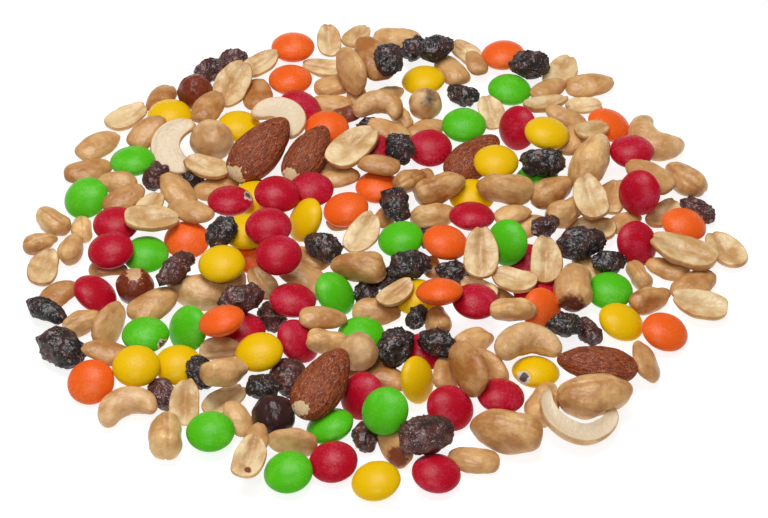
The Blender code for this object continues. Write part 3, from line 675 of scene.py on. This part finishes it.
def almond_form(direction, laid, shift, lay):
    """A flattened teardrop, furrowed lengthways and smooth at its two ends."""
    along = direction.x
    across = Vector((direction.y, direction.z))
    if across.length < 1e-6:
        across = Vector((0, 0))
    else:
        across.normalize()
    half_width, half_height = teardrop(along, laid.piece.size)
    sway = FURROW_SWAY * noise.noise(Vector((along * 2.4, across.x, across.y)) + shift)
    round_it = Vector((0, across.x + sway * across.y, across.y)) * FURROWS
    ridge = noise.noise(Vector((along * 1.5, 0, 0)) + round_it + shift)
    short = noise.noise(Vector((along * 5.0, 0, 0)) + round_it * 2 + shift)
    ends = min(1.0, (1 - abs(along)) * 6)
    depth = FURROW_DEPTH * ends * (abs(ridge) * 2.4 - 1 + 0.5 * short)
    point = Vector((
        along * laid.piece.size[0] / 2,
        across.x * (half_width + depth),
        across.y * (half_height + depth)))
    point += Vector((0, 0, 0.25)) * noise.noise(point * 0.14 + shift)
    bare = spot_strength(BARE_ENDS, laid, lay @ point, shift)
    # The first mark is the bottom of each furrow, where the colour is darkened as painted shade
    return point, (max(0.0, 1 - abs(ridge) * 5) * ends, bare, 0)


almond_skin, place, marks = new_material("roasted almond skin, salted")
own = add_node(almond_skin, "Attribute", {}, attribute_name="own_place").outputs["Vector"]
# Fine fibres 0.4 mm apart run along the kernel, so the pattern is stretched along it
fibres_at = add_node(almond_skin, "Mapping", {"Vector": own, "Scale": (0.7, 3.0, 3.0)})
fibres = noisy(almond_skin, fibres_at.outputs[0], 1, 3)
fibre = ramp(almond_skin, fibres, 0.32, 0.68)
skin_brown = mixed(almond_skin, fibre, "5C1C08", "AE5A2E")
# Darker towards 451508 in the bottoms of the furrows: painted shade
furrow_shade_share = times(almond_skin, marks["X"], 0.55)
furrowed = mixed(almond_skin, furrow_shade_share, skin_brown, "451508")
# Salt, grains of 0.3 mm
grains = add_node(almond_skin, "TexVoronoi", {"Vector": place, "Scale": 2400})
grain = ramp(almond_skin, grains.outputs["Distance"], 0.26, 0.12)
salted_here = noisy(almond_skin, place, 700, 4)
some = ramp(almond_skin, salted_here, 0.5, 0.58)
salt = times(almond_skin, grain, some)
salted = mixed(almond_skin, salt, furrowed, "F0DCC8")
tear = noisy(almond_skin, place, 700, 3)
torn = times(almond_skin, marks["Y"], tear)
bare = ramp(almond_skin, torn, 0.16, 0.2)
with_bare = mixed(almond_skin, bare, salted, "D6BA90")
relief = add_node(almond_skin, "Bump", {
    "Height": fibres, "Strength": 0.6, "Distance": 0.0005})
surface = add_node(almond_skin, "BsdfPrincipled", {
    "Base Color": with_bare, "Roughness": 0.5, "IOR": 1.47,
    "Specular IOR Level": 0.3, "Normal": relief.outputs[0]})
add_node(almond_skin, "OutputMaterial", {"Surface": surface.outputs[0]})
make_pieces("almonds", all_of("almond"), 96, 64, LENGTHWAYS, almond_form, almond_skin)


# Hazelnuts: round kernels with a faint point on top and a flat scar below, roasted. Some keep
# their thin dark skin, which cracks and flakes off the pale kernel. Others were rubbed bare.
HAZELNUT_LUMP = 0.07
CRACK_REACH = 0.14
# The hazelnuts in skin, with how much of it has cracked, and the one whose skin is darker
SKINNED_HAZELNUTS = {(195, 92): 0.0, (135, 287): 0.16, (274, 416): 0.0}
DARK_HAZELNUTS = {(274, 416)}
# A rubbed patch and a scorched one, by the hazelnut: where it shows in the view, and its reach
RUBBED_PATCHES = {(135, 287): (134, 273, 9)}
SCORCHED = {(427, 111): (428, 98, 13)}


def hazelnut_form(direction, laid, shift, lay):
    """A round kernel with faint ribs. Where its skin is open, the surface is a little lower."""
    point = Vector(part * side / 2 for part, side in zip(direction, laid.piece.size))
    top = max(0.0, direction.z)
    point *= 1 + 0.07 * top ** 12 - 0.04 * max(0.0, -direction.z) ** 6
    point *= 1 + HAZELNUT_LUMP * noise.noise(direction * 1.4 + shift)
    meridian = Vector((direction.x * 6, direction.y * 6, direction.z * 0.8))
    ridge = noise.noise(meridian + shift)
    bumps = noise.noise(point / 1.8 + shift)
    crack = abs(noise.noise(Vector((direction.x * 1.8, direction.y * 1.8, direction.z * 0.9)) - shift))
    flaking = SKINNED_HAZELNUTS.get(key_of(laid), 0)
    scorch = spot_strength(SCORCHED, laid, lay @ point, shift)
    rubbed = spot_strength(RUBBED_PATCHES, laid, lay @ point, shift)
    open_skin = min(1.0, max(0.0, 1 - crack / (CRACK_REACH * flaking + 1e-6), 2 * rubbed))
    point += direction * (0.12 * ridge + 0.16 * bumps - 0.15 * open_skin)
    return point, (open_skin, scorch, 1.0 if key_of(laid) in DARK_HAZELNUTS else 0.0)


hazelnut_skin, place, marks = new_material("roasted hazelnut skin")
own = add_node(hazelnut_skin, "Attribute", {}, attribute_name="own_place").outputs["Vector"]
streaks_at = add_node(hazelnut_skin, "Mapping", {"Vector": own, "Scale": (1.4, 1.4, 0.3)})
streaks = noisy(hazelnut_skin, streaks_at.outputs[0], 1, 4)
brown = mixed(hazelnut_skin, streaks, "40120A", "96401F")
flake = ramp(hazelnut_skin, marks["X"], 0.2, 0.5)
dark = mixed(hazelnut_skin, marks["Z"], brown, "361A1A")
flaked = mixed(hazelnut_skin, flake, dark, "C89A6E")
relief = add_node(hazelnut_skin, "Bump", {
    "Height": streaks, "Strength": 0.35, "Distance": 0.0004})
surface = add_node(hazelnut_skin, "BsdfPrincipled", {
    "Base Color": flaked, "Roughness": 0.27, "IOR": 1.47,
    "Specular IOR Level": 0.4, "Normal": relief.outputs[0]})
add_node(hazelnut_skin, "OutputMaterial", {"Surface": surface.outputs[0]})
chosen = [laid for laid in all_of("hazelnut") if key_of(laid) in SKINNED_HAZELNUTS]
make_pieces("hazelnuts_in_skin", chosen, 64, 44, UP, hazelnut_form, hazelnut_skin)

hazelnut_kernel, place, marks = new_material("roasted bare hazelnut")
toasting = noisy(hazelnut_kernel, place, 240, 4)
tan = ramp(hazelnut_kernel, toasting, 0.35, 0.65)
toasted = mixed(hazelnut_kernel, tan, "DCB482", "B88450")
burnt = times(hazelnut_kernel, marks["Y"], toasting)
burn = ramp(hazelnut_kernel, burnt, 0.12, 0.42)
scorched = mixed(hazelnut_kernel, burn, toasted, "33221A")
relief = add_node(hazelnut_kernel, "Bump", {
    "Height": toasting, "Strength": 0.55, "Distance": 0.0007})
surface = add_node(hazelnut_kernel, "BsdfPrincipled", {
    "Base Color": scorched, "Roughness": 0.46, "IOR": 1.47, "Normal": relief.outputs[0]})
add_node(hazelnut_kernel, "OutputMaterial", {"Surface": surface.outputs[0]})
chosen = [laid for laid in all_of("hazelnut") if key_of(laid) not in SKINNED_HAZELNUTS]
make_pieces("hazelnuts_bare", chosen, 64, 44, UP, hazelnut_form, hazelnut_kernel)


# Cashews: kidney-shaped kernels, roasted and lightly salted. They curve round their hollow side,
# swell towards one end and have a faint seam down the middle, along which some have split.
SEAM_WIDTH = 0.06
HOLLOW_SEAM = 0.18
BACK_SEAM = 0.10
TROUGH = 0.75
# How wide a half is to its stand-in. One half is slimmer than the others.
HALF_WIDTH = 1.1
SLIM_HALVES = {(576, 419): 0.78}


def along_cashew(point, size):
    """Bends a straight point round the cashew's arc, thinner towards its ends."""
    ring = cashew_ring(size)
    along = 2 * point.x / size[0]
    angle = math.radians(-90 + along * CASHEW_TIPS / 2)
    inward = ring - point.y
    return Vector((inward * math.cos(angle), inward * math.sin(angle) + ring * CASHEW_MIDDLE, point.z))


def cashew_swell(along):
    """How thick a cashew is to a ball: blunt at its ends, and thicker towards one of them."""
    blunt = max(0.002, 1 - along ** 2) ** -0.11
    return (1 + 0.10 * along - 0.10 * along ** 2) * blunt


def cashew_form(direction, laid, shift, lay):
    """A whole kernel, lumpy, with its seam along the hollow side and the back."""
    size = laid.piece.size
    swell = cashew_swell(direction.x)
    point = Vector((
        direction.x * size[0], direction.y * size[1] * swell, direction.z * size[2] * swell)) / 2
    seam = math.exp(-(direction.z / SEAM_WIDTH) ** 2) * (HOLLOW_SEAM if direction.y > 0 else BACK_SEAM)
    lump = 0.55 * noise.noise(point / 6 + shift) + 0.2 * noise.noise(point / 2.4 + shift)
    point += Vector((0, direction.y, direction.z)) * lump
    point.y -= seam * math.copysign(1, direction.y)
    return along_cashew(point, size), (0, 0, 0)


def cashew_half_form(direction, laid, shift, lay):
    """Split along its seam: a flat pale face with a shallow trough, and a rounded back."""
    size = laid.piece.size
    swell = cashew_swell(direction.x)
    point = Vector((direction.x * size[0], direction.y * size[1] * swell, direction.z * size[2] * 1.5)) / 2
    wide = SLIM_HALVES.get(key_of(laid), HALF_WIDTH)
    point.y = wide * point.y + 0.5 * noise.noise(Vector((point.x / 6, 0, 0)) + shift)
    top = 0.25 * size[2]
    inside = min(1.0, max(0.0, (point.z - top) / 0.5))
    across = direction.y / max(0.05, math.sqrt(max(0.0, 1 - direction.x ** 2)))
    if point.z > top:
        trough = TROUGH * (1 - min(1.0, across ** 2 * 1.3)) * (1 - direction.x ** 4)
        point.z = top + 0.14 * (point.z - top) - trough
    point += Vector((0, 0, 0.12)) * noise.noise(point * 0.5 + shift)
    return along_cashew(point, size), (inside, 0, 0)


cashew_flesh, place, marks = new_material("roasted cashew kernel")
browning = noisy(cashew_flesh, place, 150, 5, 0.6)
browned = ramp(cashew_flesh, browning, 0.36, 0.64)
outside = mixed(cashew_flesh, browned, "E6BE8C", "BC884E")
with_face = mixed(cashew_flesh, marks["X"], outside, "DCC6A6")
grain = noisy(cashew_flesh, place, 900, 3)
relief = add_node(cashew_flesh, "Bump", {
    "Height": grain, "Strength": 0.6, "Distance": 0.0005})
surface = add_node(cashew_flesh, "BsdfPrincipled", {
    "Base Color": with_face, "Roughness": 0.38, "IOR": 1.47, "Normal": relief.outputs[0]})
add_node(cashew_flesh, "OutputMaterial", {"Surface": surface.outputs[0]})
make_pieces("cashews", all_of("cashew"), 48, 64, LENGTHWAYS, cashew_form, cashew_flesh)
make_pieces("cashew_halves", all_of("cashew half"), 56, 64, LENGTHWAYS, cashew_half_form, cashew_flesh)


# Peanuts: kernels roasted without their skins. Each is two halves pressed together, with the
# seam round its length and a small germ that makes a point at one end. Faint veins run along it.
PLUMP = 0.33
NIB = 0.05
PEANUT_LUMP = 0.8
PRESSED = 0.8
PEANUT_SEAM_WIDTH = 0.05
PEANUT_SEAM_DEPTH = 0.45
# Scraps of red skin that are left, by the piece: where they show in the view, and their reach
SKIN_SCRAPS = {
    (345, 117): (347, 119, 18), (572, 286): (572, 311, 19), (392, 446): (398, 457, 13),
    (249, 455): (248, 470, 4),
}


def oblong(direction, size, bend):
    """A plump oblong with its germ end at +x, bent a little to one side."""
    along = direction.x
    girth = max(0.02, 1 - along * along) ** (PLUMP - 0.5)
    taper = 1 - 0.10 * along - 0.08 * max(0.0, along) ** 3
    nib = NIB * size[0] * max(0.0, along) ** 24
    point = Vector((
        along * size[0] / 2 + nib,
        direction.y * size[1] / 2 * girth * taper,
        direction.z * size[2] / 2 * girth * taper))
    point.y += bend * (along * along - 0.4)
    return point


def peanut_form(direction, laid, shift, lay):
    """A whole kernel, lumpy and pressed in a little by its neighbour in the pod."""
    chance = Random(laid.piece.right * 31 + laid.piece.down)
    bend = chance.uniform(-0.5, 0.5)
    roll = chance.uniform(-0.7, 0.7)
    point = oblong(direction, laid.piece.size, bend)
    side = direction.y * math.cos(roll) + direction.z * math.sin(roll)
    seam = math.exp(-(side / PEANUT_SEAM_WIDTH) ** 2) * min(1.0, (1 - direction.x ** 2) * 4)
    pressed = max(0.0, noise.noise(direction * 1.1 - shift)) * PRESSED
    lump = PEANUT_LUMP * noise.noise(point / 5 + shift) + 0.12 * noise.noise(point / 1.8 + shift)
    point += direction * (lump + 0.15 - pressed - PEANUT_SEAM_DEPTH * seam)
    # The second mark darkens the colour along the seam's crease: painted shade
    return point, (0, seam, spot_strength(SKIN_SCRAPS, laid, lay @ point, shift))


peanut_flesh, place, marks = new_material("dry-roasted peanut kernel")
own = add_node(peanut_flesh, "Attribute", {}, attribute_name="own_place").outputs["Vector"]
tone = add_node(peanut_flesh, "Attribute", {}, attribute_name="tone").outputs["Fac"]
patches = noisy(peanut_flesh, place, 130, 4, 0.6)
patch = ramp(peanut_flesh, patches, 0.4, 0.6)
roast = plus(peanut_flesh, patch, tone)
roasted = times(peanut_flesh, roast, 0.5)
back = mixed(peanut_flesh, roasted, "EEC486", "A26228")
# Veins about 1.5 mm apart run along the kernel, so the pattern is stretched along it
veins_at = add_node(peanut_flesh, "Mapping", {"Vector": own, "Scale": (0.22, 0.5, 0.5)})
veins = noisy(peanut_flesh, veins_at.outputs[0], 1, 2)
vein = ramp(peanut_flesh, veins, 0.5, 0.64, to_high=0.24)
veined = mixed(peanut_flesh, vein, back, "A06C3C")
face = mixed(peanut_flesh, patch, "E6CC9C", "C49860")
either = mixed(peanut_flesh, marks["X"], veined, face)
# The second mark browns the kernel towards A05E28: a browner outside on the halves, and painted shade in
# the seams of whole kernels, in the groove of open faces and towards the bottom edge of turned halves
tan_and_shade_share = times(peanut_flesh, marks["Y"], 0.45)
kernel = mixed(peanut_flesh, tan_and_shade_share, either, "A05E28")
skin_bits = ramp(peanut_flesh, marks["Z"], 0.05, 0.3)
with_skin = mixed(peanut_flesh, skin_bits, kernel, "7A3C26")
grain = noisy(peanut_flesh, place, 420, 5)
height = plus(peanut_flesh, grain, veins)
relief = add_node(peanut_flesh, "Bump", {"Height": height, "Strength": 0.55, "Distance": 0.0007})
surface = add_node(peanut_flesh, "BsdfPrincipled", {
    "Base Color": with_skin, "Roughness": 0.32, "IOR": 1.47,
    "Specular IOR Level": 0.4, "Normal": relief.outputs[0]})
add_node(peanut_flesh, "OutputMaterial", {"Surface": surface.outputs[0]})
make_pieces("peanuts", all_of("peanut"), 44, 32, LENGTHWAYS, peanut_form, peanut_flesh)


# Peanut halves: kernels that have come apart along their seam. The inner face is pale and
# slightly dished, with a groove down its middle and a notch where the germ sat.
FACE_HEIGHT = 0.12
DISH = 0.5
GROOVE = 0.8
NOTCH = 0.9


def germ_cleft(along, across):
    """How much of the notch a place on a half takes: 1 at the germ's end, 0 away from it."""
    return math.exp(-(across / 0.2) ** 2) * min(1.0, max(0.0, (along - 0.45) / 0.5))


def open_half_form(direction, laid, shift, lay):
    """Face up."""
    chance = Random(laid.piece.right * 17 + laid.piece.down)
    size = laid.piece.size
    point = oblong(direction, size, chance.uniform(-0.9, 0.9))
    deepness = chance.uniform(0.7, 1.8)
    top = FACE_HEIGHT * size[2]
    inside = min(1.0, max(0.0, (point.z - top + 0.05) / 0.5))
    across = 2 * point.y / size[1]
    along = 2 * point.x / size[0]
    middle = math.exp(-(across / 0.24) ** 2)
    if point.z > top:
        rim = min(1.0, along ** 2 + across ** 2)
        dish = DISH * (1 - rim) * deepness
        groove = GROOVE * middle * (1 - 0.5 * abs(along))
        point.z = top + 0.15 * (point.z - top) - dish - groove
    point.x -= NOTCH * germ_cleft(along, across) * size[0] / PEANUT_HALF[0]
    point += direction * 0.4 * noise.noise(point / 4.5 + shift)
    point.z += 0.5 * noise.noise(Vector((point.x, point.y, 0)) / 6 - shift)
    # Browner on the outside, and darker along the groove of the face, which is painted shade
    tan_and_groove_shade = middle * inside * (0.6 + 0.4 * along) + 0.4 * (1 - inside)
    return point, (inside, tan_and_groove_shade, spot_strength(SKIN_SCRAPS, laid, lay @ point, shift))


def turned_half_form(direction, laid, shift, lay):
    """Face down, so its rounded back is up."""
    chance = Random(laid.piece.right * 17 + laid.piece.down)
    size = laid.piece.size
    point = oblong(direction, size, chance.uniform(-0.7, 0.7))
    bottom = -FACE_HEIGHT * size[2]
    inside = min(1.0, max(0.0, (bottom + 0.05 - point.z) / 0.5))
    across = 2 * point.y / size[1]
    along = 2 * point.x / size[0]
    if point.z < bottom:
        rim = min(1.0, along ** 2 + across ** 2)
        point.z = bottom + 0.12 * (point.z - bottom) + DISH * (1 - rim)
    point.x -= NOTCH * 0.5 * germ_cleft(along, across) * size[0] / PEANUT_HALF[0]
    lump = 0.5 * noise.noise(point / 5 + shift) + 0.1 * noise.noise(point / 1.6 + shift)
    point += direction * lump
    # Browner all over the back, and darker still towards the bottom edge by the table, which is painted
    # shade
    edge = math.exp(-((point.z - bottom) / 0.9) ** 2)
    return point, (inside, 0.6 + 0.4 * edge, spot_strength(SKIN_SCRAPS, laid, lay @ point, shift))


make_pieces("peanut_halves_open", all_of("open half"), 52, 36, LENGTHWAYS, open_half_form, peanut_flesh)
make_pieces(
    "peanut_halves_turned", all_of("turned half"), 44, 30, LENGTHWAYS, turned_half_form, peanut_flesh)


# The floor: a white table top, lit enough from within to stay white between the pieces
table_top = bpy.data.meshes.new("table_top")
built = bmesh.new()
bmesh.ops.create_grid(built, x_segments=1, y_segments=1, size=4)
built.to_mesh(table_top)
built.free()
table = bpy.data.objects.new("table_top", table_top)
bpy.context.scene.collection.objects.link(table)
white_board = bpy.data.materials.new("white acrylic sheet, lit from below")
white_board.use_nodes = True
white_board.node_tree.nodes.clear()
surface = add_node(white_board, "BsdfPrincipled", {
    "Base Color": (0.25, 0.25, 0.25, 1), "Roughness": 0.6,
    "Emission Color": (1, 1, 1, 1), "Emission Strength": 0.83})
add_node(white_board, "OutputMaterial", {"Surface": surface.outputs[0]})
table_top.materials.append(white_board)

# The light: a large soft box overhead, a little to the left and behind, a small one by the
# camera, and pale even light from all round.
for name, place, width, power in (
        ("soft box overhead", (-0.12, 0.16, 1.0), 0.6, 8.6),
        ("soft box by the camera", (-0.2, -0.75, 1.0), 0.22, 3.4)):
    lamp = bpy.data.objects.new(name, bpy.data.lights.new(name, "AREA"))
    lamp.data.shape = "SQUARE"
    lamp.data.size = width
    lamp.data.energy = power
    lamp.location = place
    lamp.rotation_euler = (-Vector(place)).to_track_quat("-Z", "Y").to_euler()
    bpy.context.scene.collection.objects.link(lamp)

room = bpy.data.worlds.new("white room")
room.use_nodes = True
room.node_tree.nodes["Background"].inputs["Color"].default_value = (1, 1, 1, 1)
room.node_tree.nodes["Background"].inputs["Strength"].default_value = 0.22
bpy.context.scene.world = room
bpy.context.scene.view_settings.view_transform = "Standard"
